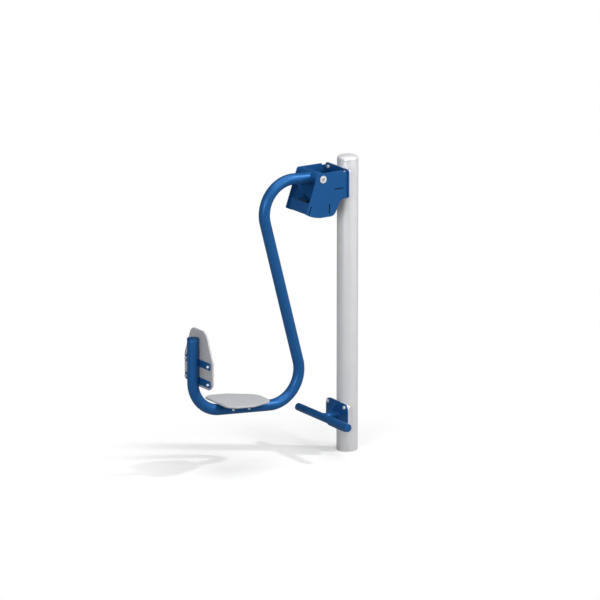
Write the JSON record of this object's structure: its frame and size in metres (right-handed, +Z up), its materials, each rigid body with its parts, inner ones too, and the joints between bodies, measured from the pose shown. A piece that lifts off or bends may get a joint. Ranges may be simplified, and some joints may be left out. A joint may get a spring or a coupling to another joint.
{
  "type": "outdoor leg press machine",
  "caption": "Outdoor leg press: a round post with a pivot housing, a swinging bent-tube arm with seat and backrest, and a low foot bar.",
  "frame": {"origin": "middle of the post's foot, at ground level", "axes": "+Z up along the post; the seat lies towards -X; the arm swings in the plane Y = 0, about an axis along Y"},
  "size_m": [1.0609, 0.49, 1.6288],
  "materials": {
    "blue_powder_coat": "satin",
    "silver_powder_coat": "satin",
    "grey_board": "matt, fine grain",
    "zinc_plated_steel": "bright zinc",
    "bright_steel": "machined",
    "sintered_bronze": "matt",
    "black_rubber": "matt"
  },
  "bodies": {
    "stand": {"axle": "bright_steel", "axle_cap_far": "zinc_plated_steel", "axle_cap_near": "zinc_plated_steel", "axle_screw_far": "bright_steel", "axle_screw_near": "bright_steel", "back_plate": "blue_powder_coat", "back_plate_bolt_1": "zinc_plated_steel", "back_plate_bolt_2": "zinc_plated_steel", "back_plate_bolt_3": "zinc_plated_steel", "back_plate_bolt_4": "zinc_plated_steel", "back_plate_flange": "silver_powder_coat", "back_plate_nut_1": "zinc_plated_steel", "back_plate_nut_2": "zinc_plated_steel", "back_plate_nut_3": "zinc_plated_steel", "back_plate_nut_4": "zinc_plated_steel", "foot_bar": "blue_powder_coat", "foot_bar_plug_far": "blue_powder_coat", "foot_bar_plug_near": "blue_powder_coat", "foot_gusset": "blue_powder_coat", "foot_plate": "blue_powder_coat", "foot_plate_bolt_1": "zinc_plated_steel", "foot_plate_bolt_2": "zinc_plated_steel", "foot_plate_bolt_3": "zinc_plated_steel", "foot_plate_bolt_4": "zinc_plated_steel", "foot_plate_flange": "silver_powder_coat", "foot_plate_nut_1": "zinc_plated_steel", "foot_plate_nut_2": "zinc_plated_steel", "foot_plate_nut_3": "zinc_plated_steel", "foot_plate_nut_4": "zinc_plated_steel", "foot_stub": "blue_powder_coat", "front_pad": "black_rubber", "front_plate": "blue_powder_coat", "post": "silver_powder_coat", "post_cap": "silver_powder_coat", "post_foot_disc": "bright_steel", "rear_pad": "black_rubber", "rear_plate": "blue_powder_coat", "shelf_plate": "blue_powder_coat", "side_plate_far": "blue_powder_coat", "side_plate_near": "blue_powder_coat"},
    "arm": {"arm_tube": "blue_powder_coat", "backrest_board": "grey_board", "backrest_bracket_high": "blue_powder_coat", "backrest_bracket_low": "blue_powder_coat", "backrest_nut_1": "zinc_plated_steel", "backrest_nut_2": "zinc_plated_steel", "backrest_nut_3": "zinc_plated_steel", "backrest_nut_4": "zinc_plated_steel", "hub_bush_far": "sintered_bronze", "hub_bush_near": "sintered_bronze", "hub_tube": "blue_powder_coat", "seat_board": "grey_board", "seat_bracket_high": "blue_powder_coat", "seat_bracket_low": "blue_powder_coat", "seat_nut_1": "zinc_plated_steel", "seat_nut_2": "zinc_plated_steel", "seat_nut_3": "zinc_plated_steel", "seat_nut_4": "zinc_plated_steel", "stop_fin": "blue_powder_coat", "upright_cap": "blue_powder_coat"}
  },
  "joints": [
    {"name": "arm_swing", "type": "hinge", "parent": "stand", "child": "arm", "pos_m": [-0.2228, 0, 1.5426], "axis": [0, 1, 0], "range_deg": [0, 16]}
  ]
}
